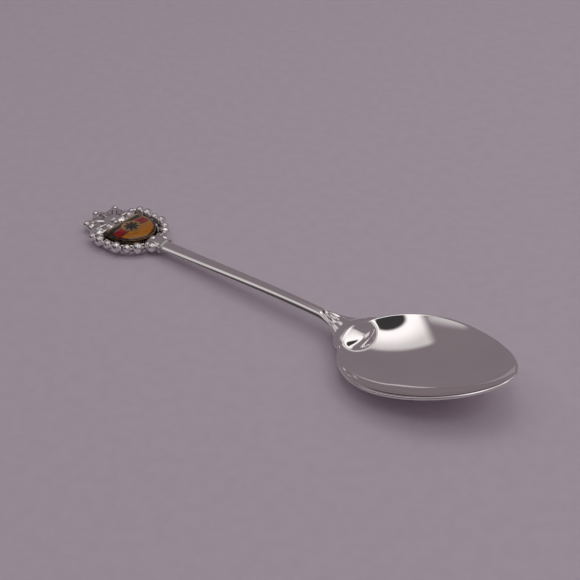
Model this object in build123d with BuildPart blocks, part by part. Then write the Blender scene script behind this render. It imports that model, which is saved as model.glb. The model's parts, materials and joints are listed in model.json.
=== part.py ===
"""Souvenir spoon: a stamped blank (bowl and stem), a soldered cast ornament and a cemented enamel badge.

Frame: the spoon lies face up on Z = 0, with its length along X. The ornament's tip is at -X, the bowl's
tip at +X, and the middle of the length is X = 0. Y = 0 is the plane of symmetry. Millimetres.
"""
import os
from math import atan2, cos, degrees, radians, sin, sqrt

from build123d import *

os.makedirs("parts", exist_ok=True)

# ---- driving dimensions -------------------------------------------------------------------------
total_length = 110.0

# bowl
bowl_length = 36.3          # heel to tip, measured flat
bowl_width = 28.6           # across the rim at its widest
bowl_wall = 0.9
bowl_tilt = 10.0            # degrees the rim rises towards the tip
bowl_depth = 6.1            # chord of the rim to the underside
rim_sag = 1.4               # how far the rim dips below its chord
widest_share = 0.413        # where the bowl is widest, from the heel
wall_roundness = 12.0       # half height of the oval that the bowl's cross-section is cut from
foot_scale = 0.12           # size of the small flat that the bowl stands on, against the rim
bowl_levels_cut = 5         # steps from the rim to the foot
heel_fullness = 0.55        # handles of the egg outline's curves, as shares of its half sizes
side_fullness = 0.46
tip_fullness = 0.47

# drop: the tongue that the stem carries over the bowl's heel
drop_length = 6.6
drop_width = 6.0
drop_height = 2.4
drop_offset = 1.0           # middle of the drop beyond the heel
drop_rise = -0.1            # and above the rim there
drop_lean = 12.0            # degrees it dips into the bowl

# stem
neck_width = 3.2
neck_thickness = 1.8
neck_rise = 0.55            # middle of the neck above the bowl's rim at the heel
neck_run = 7.4              # length over which the neck flares into the heel
flare_overlap = 3.4         # how far past the heel the flare meets the rim
flare_width = 16.0          # across the flare where it meets the rim
flare_edge_rise = 0.1       # top of the flare above the rim's heel
flare_hollow = 0.55         # half widths of the flare's two inner handles, as shares of the neck's width
flare_spread = 0.27         # and of the flare's
section_bevel = 0.3         # bevel of the stem's lower edges, as a share of its thickness
stem_width = 3.7            # at the ornament
stem_thickness = 1.15       # at the ornament
stem_height = 2.65          # middle of the stem at the ornament, above the table
flute_width = 0.8
flute_depth = 0.3
flute_length = 4.4
flute_setback = 0.9         # middle of the flutes beyond the start of the flare
flute_fan = 14.0            # degrees between neighbouring flutes

# tang and socket
tang_length = 3.0
tang_width = 2.0
tang_thickness = 0.8
tang_drop = 0.85            # middle of the tang below the middle of the stem
solder_gap = 0.12
solder_fillet = 0.4
socket_block_length = 4.3
socket_block_width = 4.2
socket_block_bottom = 0.6
socket_block_top = 3.1
socket_reach = 1.75         # how far the socket stands out past the border

# ornament
plate_thickness = 1.7
shield_length = 9.0
shield_width = 10.8
shield_shoulder = 3.4       # straight part of the shield's sides
border_width = 3.05         # edge of the shield to the outside of the beads
plate_inset = 0.35          # plate's edge and leaf ends inside the middles of the beads and pearls
bead_radius = 1.15
bead_proud = 1.4            # beads stand this far above the plate
beads_a_side = 7
bead_start = -1.0           # first bead's middle, from the shield's top edge
volute_setback = 1.1        # pair of beads at the stem, back from the end of the border
crown_height = 8.1          # top edge of the shield to the middle of the tallest pearl
crown_gap = 1.3             # shield to the coronet's band
crown_band = 1.6            # length of the band along X
crown_width = 13.0
crown_band_proud = 0.5
crown_drop = 0.12           # how much shorter the outermost leaves are
crown_spread = 1.12         # how much the coronet widens sideways
leaf_fan = 42.0             # degrees between neighbouring leaves
leaf_width = 3.6
pearl_radius = 0.85
pearl_proud = 1.1           # pearls stand this far above the plate
jewel_radius = 0.65
jewels = 5

# badge
seat_floor = 1.0            # thickness of metal left under the badge
seat_gap = 0.15
cement_thickness = 0.15
tray_floor = 0.5
tray_wall = 0.25
border_line = 0.35
enamel_depth = 1.1
red_share = 0.27            # share of the shield's length in each upper band
black_share = 0.25
roundel_radius = 2.15
rosette_radius = 1.7
rosette_eye = 0.5
petals = 8
petal_length = 1.3
petal_width = 0.7
dome_edge = 0.25            # straight edge of the clear dome
dome_rise = 0.75

# ---- places worked out from them ----------------------------------------------------------------
tip_x = -total_length / 2
heel_x = total_length / 2 - bowl_length
crown_top_x = tip_x + pearl_radius
shield_top_x = crown_top_x + crown_height
shield_point_x = shield_top_x + shield_length
shield_middle_x = (shield_top_x + shield_point_x) / 2
border_end_x = shield_point_x + border_width
stem_start_x = border_end_x + socket_reach
tang_height = stem_height - tang_drop
tray_bottom = seat_floor + cement_thickness
cell_floor = tray_bottom + tray_floor
badge_top = cell_floor + enamel_depth


# ---- bowl ---------------------------------------------------------------------------------------
chord_length = bowl_length / cos(radians(bowl_tilt))
widest_at = widest_share * chord_length
oval_centre = wall_roundness - bowl_depth


def slice_scale(below_chord, roundness):
    """Size of a level slice of the bowl against the slice at the chord."""
    def half(drop):
        return sqrt(max(1 - ((oval_centre + drop) / roundness) ** 2, 0))
    return half(below_chord) / half(0)


chord_half_width = bowl_width / 2 / slice_scale(rim_sag, wall_roundness)


def egg_slice(depth, roundness, inset):
    """Face of the bowl at a depth below the chord: an egg outline with its blunt end at the heel."""
    scale_by = slice_scale(depth, roundness)
    blunt = (widest_at - inset) * scale_by
    long = (chord_length - widest_at - inset) * scale_by
    half = (chord_half_width - inset) * scale_by
    with BuildSketch(Plane.XY.offset(-depth)) as egg:
        with BuildLine():
            Bezier((-blunt, 0), (-blunt, heel_fullness * half), (-heel_fullness * blunt, half), (0, half))
            Bezier((0, half), (side_fullness * long, half), (long, tip_fullness * half), (long, 0))
            mirror(about=Plane.XZ)
        make_face()
    return egg.sketch


def bowl_levels(roundness, foot):
    """Depths below the chord, spaced evenly round the oval, from the chord to the foot."""
    start = atan2(oval_centre, sqrt(roundness ** 2 - oval_centre ** 2))
    foot_height = roundness * sqrt(1 - (foot * sqrt(1 - (oval_centre / roundness) ** 2)) ** 2)
    finish = atan2(foot_height, sqrt(roundness ** 2 - foot_height ** 2))
    step = (finish - start) / bowl_levels_cut
    turns = [start + step * place for place in range(bowl_levels_cut + 1)]
    return [roundness * sin(turn) - oval_centre for turn in turns]


def bowl_solid(wall):
    """Solid inside the bowl's outer surface (wall = 0) or inside its inner surface."""
    roundness = wall_roundness - wall
    with BuildPart() as body:
        loft([egg_slice(depth, roundness, wall) for depth in bowl_levels(roundness, foot_scale)])
    return body.part


with BuildPart() as bowl_shell:
    add(bowl_solid(0))
    add(bowl_solid(bowl_wall), mode=Mode.SUBTRACT)
    with BuildSketch(Plane.XZ):
        back = -widest_at
        front = chord_length - widest_at
        clear = bowl_depth
        with BuildLine():
            ThreePointArc((back, 0), ((back + front) / 2, -rim_sag), (front, 0))
            Polyline(
                (front, 0),
                (front + clear, bowl_wall),
                (front + clear, clear),
                (back - clear, clear),
                (back - clear, bowl_wall),
                (back, 0),
            )
        make_face()
    extrude(amount=bowl_width, both=True, mode=Mode.SUBTRACT)


# The bowl leans back by its tilt and stands on its foot, which fixes the height of its heel.
tilted_bowl = bowl_shell.part.rotate(Axis.Y, -bowl_tilt)
bowl_lift = -tilted_bowl.bounding_box().min.Z
heel_z = bowl_lift - widest_at * sin(radians(bowl_tilt))
bowl_place = Location((heel_x + widest_at * cos(radians(bowl_tilt)), 0, bowl_lift), (0, -bowl_tilt, 0))
neck_z = heel_z + neck_rise
shoulder_start_x = heel_x - neck_run


# ---- stem ---------------------------------------------------------------------------------------
def stem_section(x, middle, width, thickness):
    """Flat-bottomed, round-topped cross-section of the stem at x."""
    bevel = thickness * section_bevel
    low = -thickness / 2
    with BuildSketch(Plane(origin=(x, 0, middle), x_dir=(0, 1, 0), z_dir=(1, 0, 0))) as section:
        with BuildLine():
            Polyline(
                (-width / 2, low + bevel),
                (-width / 2 + bevel, low),
                (width / 2 - bevel, low),
                (width / 2, low + bevel),
            )
            ThreePointArc((width / 2, low + bevel), (0, thickness / 2), (-width / 2, low + bevel))
        make_face()
    return section.sketch


def ellipsoid(length, width, height):
    """Solid ellipsoid about the origin, given its three full sizes."""
    with BuildPart() as body:
        Sphere(0.5)
        scale(by=(length, width, height))
    return body.part


# The neck flares in plan until it meets the rim on both sides of the heel.
flare_end_x = heel_x + flare_overlap
flare_top = heel_z + flare_edge_rise
with BuildPart() as neck:
    with BuildSketch():
        with BuildLine():
            Polyline((shoulder_start_x, 0), (shoulder_start_x, neck_width / 2))
            Bezier(
                (shoulder_start_x, neck_width / 2),
                (shoulder_start_x + neck_run / 2, neck_width * flare_hollow),
                (heel_x, flare_width * flare_spread),
                (flare_end_x, flare_width / 2),
            )
            Polyline((flare_end_x, flare_width / 2), (flare_end_x, 0))
            mirror(about=Plane.XZ)
        make_face()
    extrude(amount=total_length)
    with BuildSketch(Plane.XZ):
        with BuildLine():
            Polyline(
                (shoulder_start_x, neck_z - neck_thickness / 2),
                (shoulder_start_x, neck_z + neck_thickness / 2),
                (heel_x - neck_run / 2, neck_z + neck_thickness / 2),
                (heel_x, flare_top),
                (flare_end_x, flare_top),
                (flare_end_x, heel_z - neck_thickness),
                (heel_x, heel_z - neck_thickness),
                (heel_x - neck_run / 2, neck_z - neck_thickness / 2),
                close=True,
            )
        make_face()
    extrude(amount=bowl_width, both=True, mode=Mode.INTERSECT)
    with Locations(bowl_place):
        add(bowl_solid(bowl_wall), mode=Mode.SUBTRACT)

with BuildPart() as spoon_blank:
    with Locations(bowl_place):
        add(bowl_shell.part)
    add(neck.part)
    loft([
        stem_section(stem_start_x, stem_height, stem_width, stem_thickness),
        stem_section(shoulder_start_x, neck_z, neck_width, neck_thickness),
    ])
    with Locations(Location((heel_x + drop_offset, 0, heel_z + drop_rise), (0, drop_lean, 0))):
        add(ellipsoid(drop_length, drop_width, drop_height))
    # three feather flutes fan out on the neck, just behind the drop
    flute_z = neck_z + neck_thickness / 2 + flute_width / 2 - flute_depth
    for fan in (-flute_fan, 0, flute_fan):
        with Locations(Location((shoulder_start_x + flute_setback, 0, flute_z), (0, 0, fan))):
            Cylinder(flute_width / 2, flute_length, rotation=(0, 90, 0), mode=Mode.SUBTRACT)
    # tang that enters the ornament's socket
    with Locations((stem_start_x, 0, tang_height)):
        Box(tang_length, tang_width, tang_thickness, align=(Align.MAX, Align.CENTER, Align.CENTER))
spoon_blank.part.label = "spoon_blank"
export_step(spoon_blank.part, "parts/spoon_blank.step")


# ---- cast ornament ------------------------------------------------------------------------------
def shield_outline(grow):
    """Shield outline, its flat top towards -X and its point towards +X, grown by a margin."""
    half = shield_width / 2 + grow
    top = shield_top_x - grow
    shoulder = shield_top_x + shield_shoulder
    point = shield_point_x + grow
    with BuildSketch() as shield:
        with BuildLine():
            Polyline((top, 0), (top, half), (shoulder, half))
            TangentArc((shoulder, half), (point, 0), tangent=(1, 0))
            mirror(about=Plane.XZ)
        make_face()
    return shield.sketch


def shield_plate(grow, bottom, top):
    """Flat plate of the shield's outline between two heights."""
    with BuildPart() as plate:
        with BuildSketch(Plane.XY.offset(bottom)):
            add(shield_outline(grow))
        extrude(amount=top - bottom)
    return plate.part


bead_line = border_width - bead_radius
bead_z = plate_thickness + bead_proud - bead_radius
pearl_z = plate_thickness + pearl_proud - pearl_radius
with BuildLine() as bead_path:
    bead_corner = (shield_top_x + bead_start, shield_width / 2 + bead_line)
    bead_shoulder = (shield_top_x + shield_shoulder, shield_width / 2 + bead_line)
    Line(bead_corner, bead_shoulder)
    TangentArc(bead_shoulder, (shield_point_x + bead_line, 0), tangent=(1, 0))
bead_run = bead_path.wires()[0]
bead_step = (1 - (bead_radius + socket_block_width / 2) / bead_run.length) / (beads_a_side - 1)
bead_points = [bead_run @ (bead_step * place) for place in range(beads_a_side)]
bead_points += [Vector(point.X, -point.Y) for point in bead_points]
volute_x = border_end_x - volute_setback
bead_points += [Vector(volute_x, socket_block_width / 2), Vector(volute_x, -socket_block_width / 2)]

crown_base_x = shield_top_x - crown_gap - crown_band / 2
crown_reach = crown_base_x - crown_top_x
leaf_turns = [fan * leaf_fan for fan in (-2, -1, 0, 1, 2)]


def pearl_point(turn):
    """Middle of the pearl at the end of the crown leaf that leans by a turn from the axis."""
    reach = crown_reach * (1 - crown_drop * (turn / (2 * leaf_fan)) ** 2)
    return Vector(crown_base_x - reach * cos(radians(turn)), reach * sin(radians(turn)) * crown_spread)


with BuildPart() as finial_casting:
    with BuildSketch():
        add(shield_outline(bead_line - plate_inset))
        with Locations((crown_base_x, 0)):
            Rectangle(crown_band, crown_width)
        for turn in leaf_turns:
            end = pearl_point(turn)
            middle = Vector((crown_base_x + end.X) / 2, end.Y / 2)
            lean = degrees(atan2(end.Y, end.X - crown_base_x))
            leaf_length = (end - Vector(crown_base_x, 0)).length - plate_inset
            with Locations(Location((middle.X, middle.Y, 0), (0, 0, lean))):
                Ellipse(leaf_length / 2, leaf_width / 2)
    extrude(amount=plate_thickness)
    # each sphere is turned so that its seam faces outwards, clear of its neighbours
    for point in bead_points:
        outwards = degrees(atan2(point.Y, point.X - shield_middle_x))
        with Locations(point + Vector(0, 0, bead_z)):
            Sphere(bead_radius, rotation=(0, 0, outwards))
    for turn in leaf_turns:
        with Locations(pearl_point(turn) + Vector(0, 0, pearl_z)):
            Sphere(pearl_radius, rotation=(0, 0, 180 - turn))
    with BuildSketch(Plane.XY.offset(plate_thickness)):
        with Locations((crown_base_x, 0)):
            Rectangle(crown_band, crown_width)
    extrude(amount=crown_band_proud)
    for place in range(jewels):
        across = (place - (jewels - 1) / 2) * crown_width / jewels
        with Locations((crown_base_x, across, plate_thickness + crown_band_proud)):
            Sphere(jewel_radius)
    with Locations((stem_start_x, 0, socket_block_bottom)):
        Box(socket_block_length, socket_block_width, socket_block_top - socket_block_bottom,
            align=(Align.MAX, Align.CENTER, Align.MIN))
    # everything stays above the table
    Box(2 * total_length, 2 * bowl_width, bowl_width,
        align=(Align.CENTER, Align.CENTER, Align.MAX), mode=Mode.SUBTRACT)
    # seat for the badge, socket for the tang
    add(shield_plate(seat_gap, seat_floor, total_length), mode=Mode.SUBTRACT)
    with Locations((stem_start_x, 0, tang_height)):
        Box(tang_length + solder_gap, tang_width + 2 * solder_gap, tang_thickness + 2 * solder_gap,
            align=(Align.MAX, Align.CENTER, Align.CENTER), mode=Mode.SUBTRACT)
finial_casting.part.label = "finial_casting"
export_step(finial_casting.part, "parts/finial_casting.step")

fillet_spread = 2 * solder_fillet
fillet_end_x = stem_start_x + solder_fillet
with BuildPart() as solder_joint:
    with Locations((stem_start_x, 0, tang_height)):
        Box(tang_length + solder_gap, tang_width + 2 * solder_gap, tang_thickness + 2 * solder_gap,
            align=(Align.MAX, Align.CENTER, Align.CENTER))
        Box(tang_length, tang_width, tang_thickness,
            align=(Align.MAX, Align.CENTER, Align.CENTER), mode=Mode.SUBTRACT)
    # fillet that shows round the stem where it leaves the ornament
    loft([
        stem_section(stem_start_x, stem_height, stem_width + fillet_spread, stem_thickness + fillet_spread),
        stem_section(fillet_end_x, stem_height, stem_width + solder_gap, stem_thickness + solder_gap),
    ])
    add(spoon_blank.part, mode=Mode.SUBTRACT)
solder_joint.part.label = "solder_joint"
export_step(solder_joint.part, "parts/solder_joint.step")

# ---- badge --------------------------------------------------------------------------------------
with BuildPart() as badge_cement:
    with BuildSketch(Plane.XY.offset(seat_floor)):
        add(shield_outline(-seat_gap))
    extrude(amount=cement_thickness)
badge_cement.part.label = "badge_cement"
export_step(badge_cement.part, "parts/badge_cement.step")

line_outer = -tray_wall
line_inner = line_outer - border_line
field_edge = line_inner - tray_wall
black_end_x = shield_top_x + black_share * shield_length
red_end_x = black_end_x + red_share * shield_length
roundel_x = (black_end_x + red_end_x) / 2


# three enamel bands, less the roundel that stands in the middle of the badge
band_ends = {
    "black_enamel": (shield_top_x, black_end_x - tray_wall / 2),
    "red_enamel": (black_end_x + tray_wall / 2, red_end_x - tray_wall / 2),
    "gold_enamel": (red_end_x + tray_wall / 2, shield_point_x),
}
bands = []
for name, (start_x, end_x) in band_ends.items():
    with BuildPart() as fill:
        with BuildSketch(Plane.XY.offset(cell_floor)):
            add(shield_outline(field_edge))
            with Locations(((start_x + end_x) / 2, 0)):
                Rectangle(end_x - start_x, shield_width, mode=Mode.INTERSECT)
            with Locations((roundel_x, 0)):
                Circle(roundel_radius, mode=Mode.SUBTRACT)
        extrude(amount=enamel_depth)
    fill.part.label = name
    export_step(fill.part, f"parts/{name}.step")
    bands.append(fill.part)

with BuildPart() as border_enamel:
    with BuildSketch(Plane.XY.offset(cell_floor)):
        add(shield_outline(line_outer))
        add(shield_outline(line_inner), mode=Mode.SUBTRACT)
    extrude(amount=enamel_depth)
border_enamel.part.label = "border_enamel"
export_step(border_enamel.part, "parts/border_enamel.step")

with BuildPart() as rosette_enamel:
    with BuildSketch(Plane.XY.offset(cell_floor)):
        with Locations((roundel_x, 0)):
            Circle(rosette_eye)
            with PolarLocations(rosette_radius - petal_length / 2, petals):
                Ellipse(petal_length / 2, petal_width / 2)
    extrude(amount=badge_top - cell_floor)
rosette_enamel.part.label = "rosette_enamel"
export_step(rosette_enamel.part, "parts/rosette_enamel.step")

with BuildPart() as badge_tray:
    add(shield_plate(0, tray_bottom, badge_top))
    add(border_enamel.part, mode=Mode.SUBTRACT)
    add(rosette_enamel.part, mode=Mode.SUBTRACT)
    for band in bands:
        add(band, mode=Mode.SUBTRACT)
badge_tray.part.label = "badge_tray"
export_step(badge_tray.part, "parts/badge_tray.step")

dome_sphere = (shield_width ** 2 / 4 + dome_rise ** 2) / (2 * dome_rise)
with BuildPart() as clear_dome:
    add(shield_plate(0, badge_top, badge_top + dome_edge + dome_rise))
    with Locations((shield_middle_x, 0, badge_top + dome_edge + dome_rise - dome_sphere)):
        Sphere(dome_sphere, mode=Mode.INTERSECT)
clear_dome.part.label = "clear_dome"
export_step(clear_dome.part, "parts/clear_dome.step")
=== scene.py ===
"""Looks of a souvenir spoon: a polished silver-plated blank, a cast silver ornament and an enamel badge.

The spoon lies face up with its ornament at -X and its bowl at +X. Sizes below are millimetres; every mesh
is written in metres.
"""
import json
from math import atan2, cos, pi, radians, sin, sqrt, tan

import bmesh
import bpy
import numpy as np
from mathutils import Matrix, Vector

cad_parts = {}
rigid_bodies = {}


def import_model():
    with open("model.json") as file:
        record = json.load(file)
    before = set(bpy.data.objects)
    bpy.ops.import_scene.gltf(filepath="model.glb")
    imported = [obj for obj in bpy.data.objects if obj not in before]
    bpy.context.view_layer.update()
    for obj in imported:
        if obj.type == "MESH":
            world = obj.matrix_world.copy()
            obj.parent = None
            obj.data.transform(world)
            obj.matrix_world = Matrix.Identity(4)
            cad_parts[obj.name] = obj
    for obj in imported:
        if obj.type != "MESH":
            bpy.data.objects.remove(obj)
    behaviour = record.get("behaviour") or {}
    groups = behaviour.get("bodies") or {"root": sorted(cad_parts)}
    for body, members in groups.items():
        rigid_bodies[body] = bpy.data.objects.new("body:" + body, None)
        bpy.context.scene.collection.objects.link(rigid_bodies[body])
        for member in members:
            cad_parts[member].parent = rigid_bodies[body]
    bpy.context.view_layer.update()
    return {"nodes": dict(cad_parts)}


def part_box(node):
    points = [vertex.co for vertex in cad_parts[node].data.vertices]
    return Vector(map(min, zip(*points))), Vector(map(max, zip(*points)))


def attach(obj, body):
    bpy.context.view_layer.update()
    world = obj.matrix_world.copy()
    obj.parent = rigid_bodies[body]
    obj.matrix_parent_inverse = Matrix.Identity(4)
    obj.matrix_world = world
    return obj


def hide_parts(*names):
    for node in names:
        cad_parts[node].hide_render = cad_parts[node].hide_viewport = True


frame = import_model()
MM = 0.001


def node_box(node):
    """Lowest and highest corner of a CAD node, in millimetres."""
    low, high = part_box(node)
    return np.array(low) / MM, np.array(high) / MM


# ---- places taken from the frame ----------------------------------------------------------------
blank_high = node_box("spoon_blank")[1]
casting_low, casting_high = node_box("finial_casting")
tray_low, tray_high = node_box("badge_tray")
joint_high = node_box("solder_joint")[1]
dome_low, dome_high = node_box("clear_dome")

# ---- bowl, the same law as the CAD's ------------------------------------------------------------
bowl_length = 36.3
bowl_width = 28.6
bowl_wall = 0.9
bowl_tilt = radians(10)
bowl_depth = 6.1
rim_sag = 1.4
widest_share = 0.413
heel_fullness = 0.55        # handles of the egg outline's curves
side_fullness = 0.46
tip_fullness = 0.47
wall_roundness = 12.0
rim_lip = 0.15              # inner edge of the rim above the cut
rim_drop = 0.35             # outer edge of the rim below the cut
rim_swell = 0.3             # how much the rim's edge bulges, as a share of its width
rim_outset = 0.38           # outline drawn out so that the rounded edge ends at the full width
heel_tuck = 1.5             # how far under the rim the neck joins the back of the bowl
heel_x = blank_high[0] - bowl_length
heel_rim_z = 3.70

# ---- neck and stem ------------------------------------------------------------------------------
stem_width = 3.7
stem_thickness = 1.15
stem_height = 2.65
neck_width = 3.2
neck_thickness = 1.8
neck_rise = 0.55
neck_run = 7.4
flare_overlap = 3.4
flare_width = 16.0
under_delay = 1.6           # how late the flare's underside comes down to the back of the bowl
flare_hollow = 0.55         # half widths of the flare's inner handles, as shares of the neck's width
flare_spread = 0.27         # and of the flare's
section_bevel = 0.3         # bevel of the lower edges, as a share of the thickness
blend_start = 0.6           # share of the flare after which its heights blend into the rim
side_swell = 0.16           # how much the stem's sides bulge, as a share of their height
side_sag = 0.6              # how far that bulge hangs down
flare_lift = -0.25          # height of the flare's edge against the stem's
flare_keel = 0.25           # how far the flare's underside rises towards its edges
ridge_half = 2.3            # half width of the raised middle of the flare
valley_depth = 0.16         # dip between the middle of the flare and its edge
shoulder_share = 0.55       # height of the flare's rounded edge against its middle
tang_width = 2.0
tang_thickness = 0.8
tang_height = 1.8
tang_length = 2.8
tongue_middle = 1.1         # beyond the heel
tongue_half_length = 3.2
tongue_half_width = 5.8
tongue_rise = 0.75          # above the rim, at its middle
tongue_lean = radians(13)
tongue_bend_back = 0.06     # how fast its top curves down, per millimetre squared
tongue_bend_front = 0.025
tongue_bend_side = 0.002
tongue_ridge = 0.18         # slope of its flanks near the middle
tongue_ridge_width = 1.2
tongue_edge = 1.0           # how deep its edge rolls over
ray_length = 4.8
ray_width = 0.26
ray_rise = 0.24
ray_fan = radians(15)

# ---- mesh density of the blank ------------------------------------------------------------------
quarter_columns = 64        # round a quarter of the rim
bowl_rings = 60             # rim to the middle of the bowl
rim_steps = 5               # across the rim's edge
stem_stations = 64
neck_stations = 56
stem_share = 0.8            # share of the way to the rim that the stem's stations take up

stem_start_x = joint_high[0] - 0.4
shoulder_x = heel_x - neck_run
neck_z = heel_rim_z + neck_rise
blend_x = shoulder_x + blend_start * neck_run


# ---- small shared tools -------------------------------------------------------------------------
def ease(value):
    """Smooth step from 0 to 1."""
    part = np.clip(value, 0, 1)
    return part * part * (3 - 2 * part)


def bezier(p0, p1, p2, p3, share):
    """Points of a cubic Bezier at the given shares."""
    share = np.asarray(share)[:, None]
    rest = 1 - share
    corners = [np.array(p, float) for p in (p0, p1, p2, p3)]
    return (rest ** 3 * corners[0] + 3 * rest ** 2 * share * corners[1]
            + 3 * rest * share ** 2 * corners[2] + share ** 3 * corners[3])


def through(x, knots):
    """Smooth curve z(x) through a few knots, by cubic Hermite spans."""
    xs, zs = np.array(knots, float).T
    slopes = np.gradient(zs, xs)
    span = np.clip(np.searchsorted(xs, x, side="right") - 1, 0, len(xs) - 2)
    width = xs[span + 1] - xs[span]
    t = np.clip((x - xs[span]) / width, 0, 1)
    return ((2 * t ** 3 - 3 * t ** 2 + 1) * zs[span] + (t ** 3 - 2 * t ** 2 + t) * width * slopes[span]
            + (3 * t ** 2 - 2 * t ** 3) * zs[span + 1] + (t ** 3 - t ** 2) * width * slopes[span + 1])


def new_mesh(name, points, faces):
    """Mesh from points in millimetres, smooth shaded."""
    mesh = bpy.data.meshes.new(name)
    mesh.from_pydata((np.asarray(points) * MM).tolist(), [], [list(face) for face in faces])
    mesh.validate()
    mesh.shade_smooth()
    return mesh


def new_object(name, mesh):
    """Object for a mesh, linked to the scene."""
    piece = bpy.data.objects.new(name, mesh)
    bpy.context.collection.objects.link(piece)
    return piece


def baked(piece):
    """Turns a piece with modifiers into a plain mesh and removes the modifiers."""
    graph = bpy.context.evaluated_depsgraph_get()
    mesh = bpy.data.meshes.new_from_object(piece.evaluated_get(graph))
    piece.modifiers.clear()
    old = piece.data
    piece.data = mesh
    if old.users == 0:
        bpy.data.batch_remove([old])
    return piece


def facing_outwards(mesh):
    """Turns the faces of a closed mesh outwards."""
    work = bmesh.new()
    work.from_mesh(mesh)
    bmesh.ops.recalc_face_normals(work, faces=work.faces)
    work.to_mesh(mesh)
    work.free()
    return mesh


def joined(name, pieces):
    """One object holding the meshes of several, which are removed."""
    points, faces = [], []
    for piece in pieces:
        mesh = piece.data
        start = len(points)
        points += [tuple(vertex.co) for vertex in mesh.vertices]
        faces += [[start + index for index in face.vertices] for face in mesh.polygons]
        bpy.data.objects.remove(piece)
    mesh = bpy.data.meshes.new(name)
    mesh.from_pydata(points, [], faces)
    mesh.shade_smooth()
    return new_object(name, mesh)


# ---- spoon blank --------------------------------------------------------------------------------
chord_length = bowl_length / cos(bowl_tilt)
widest_at = widest_share * chord_length
oval_centre = wall_roundness - bowl_depth


def level(roundness, depth):
    """Angle down the oval wall at a depth below the rim's chord."""
    return np.arcsin(np.clip((oval_centre + depth) / roundness, -1, 1))


chord_half_width = bowl_width / 2 * cos(level(wall_roundness, 0)) / cos(level(wall_roundness, rim_sag))


def egg_outline(inset):
    """Closed egg outline at the chord, from the heel round by +Y to the tip and back."""
    blunt = widest_at + rim_outset - inset
    long = chord_length - widest_at + rim_outset - inset
    half = chord_half_width + rim_outset - inset
    share = np.arange(quarter_columns) / quarter_columns
    heel = bezier((-blunt, 0), (-blunt, heel_fullness * half),
                  (-heel_fullness * blunt, half), (0, half), share)
    tip = bezier((0, half), (side_fullness * long, half), (long, tip_fullness * half), (long, 0), share)
    side = np.vstack([heel, tip, [(long, 0)]])
    return np.vstack([side, (side * (1, -1))[-2:0:-1]])


def rim_depth(x):
    """Depth of the rim below its chord: a shallow arc from heel to tip."""
    radius = ((chord_length / 2) ** 2 + rim_sag ** 2) / (2 * rim_sag)
    middle = chord_length / 2 - widest_at
    return rim_sag - radius + np.sqrt(radius ** 2 - np.clip(x - middle, -radius, radius) ** 2)


def bowl_surface(inset, extra_depth):
    """Rings of points from the rim to just short of the bowl's middle, and the middle point."""
    outline = egg_outline(inset)
    roundness = wall_roundness - inset
    chord_cos = cos(level(roundness, 0))
    start = np.full(len(outline), level(roundness, 0))
    for _ in range(12):
        x = outline[:, 0] * np.cos(start) / chord_cos
        start = level(roundness, rim_depth(x) + extra_depth)
    rings = []
    for ring in range(bowl_rings):
        turn = start + (pi / 2 - start) * ring / bowl_rings
        size = (np.cos(turn) / chord_cos)[:, None]
        depth = roundness * np.sin(turn) - oval_centre
        rings.append(np.column_stack([outline * size, -depth]))
    rings.append(np.array([[0, 0, oval_centre - roundness]]))
    return [placed_bowl(ring) for ring in rings]


def placed_bowl(points):
    """Bowl's own frame (chord level, middle at its widest) to the spoon's frame."""
    x, y, z = points.T
    lean, rise = cos(bowl_tilt), sin(bowl_tilt)
    return np.column_stack([
        x * lean - z * rise + heel_x + widest_at * lean,
        y,
        x * rise + z * lean + heel_rim_z + widest_at * rise,
    ])


def flare_half_width(x):
    """Half width of the neck in plan: a straight taper, then a flare that meets the rim."""
    flare = bezier(
        (shoulder_x, neck_width / 2), (shoulder_x + neck_run / 2, neck_width * flare_hollow),
        (heel_x, flare_width * flare_spread), (heel_x + flare_overlap, flare_width / 2),
        np.linspace(0, 1, 60))
    straight = np.interp(x, (stem_start_x, shoulder_x), (stem_width / 2, neck_width / 2))
    return np.where(x < shoulder_x, straight, np.interp(x, flare[:, 0], flare[:, 1]))


def tongue_top(x, y):
    """Upper surface of the tongue that laps over the heel, far below everything outside its oval."""
    ahead = x - heel_x - tongue_middle
    reach = (ahead / tongue_half_length) ** 2 + (y / tongue_half_width) ** 2
    bend = np.where(ahead < 0, tongue_bend_back, tongue_bend_front)
    top = heel_rim_z + tongue_rise - tan(tongue_lean) * ahead - bend * ahead ** 2 - tongue_bend_side * y ** 2
    top = top - tongue_ridge * (np.sqrt(y ** 2 + tongue_ridge_width ** 2) - tongue_ridge_width)
    return np.where(reach < 1.6, top - tongue_edge * np.minimum(reach, 2) ** 4, -10)


def soft_max(a, b, width):
    """The larger of two heights, with a small fillet where they cross."""
    blend = np.clip(0.5 + 0.5 * (a - b) / width, 0, 1)
    return b + (a - b) * blend + width * blend * (1 - blend)


def with_tongue(points):
    """Raises points of the upper surface to the tongue where it stands above them."""
    x, y, z = points.T
    return np.column_stack([x, y, soft_max(z, tongue_top(x, y), 0.5)])


def ray_height(x, y):
    """Three raised feather rays that fan out on the neck, each with a shallow groove beside it."""
    height = np.zeros_like(x)
    for fan in (-1, 0, 1):
        along = (x - shoulder_x) * cos(fan * ray_fan) + y * sin(fan * ray_fan)
        across = np.abs(y * cos(fan * ray_fan) - (x - shoulder_x) * sin(fan * ray_fan))
        ends = ease(along / 0.8) * ease((ray_length - along) / 1.6)
        height += ends * (ray_rise * np.exp(-(across / ray_width) ** 2)
                          - 0.4 * ray_rise * np.exp(-((across - 2 * ray_width) / ray_width) ** 2))
    return height


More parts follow.
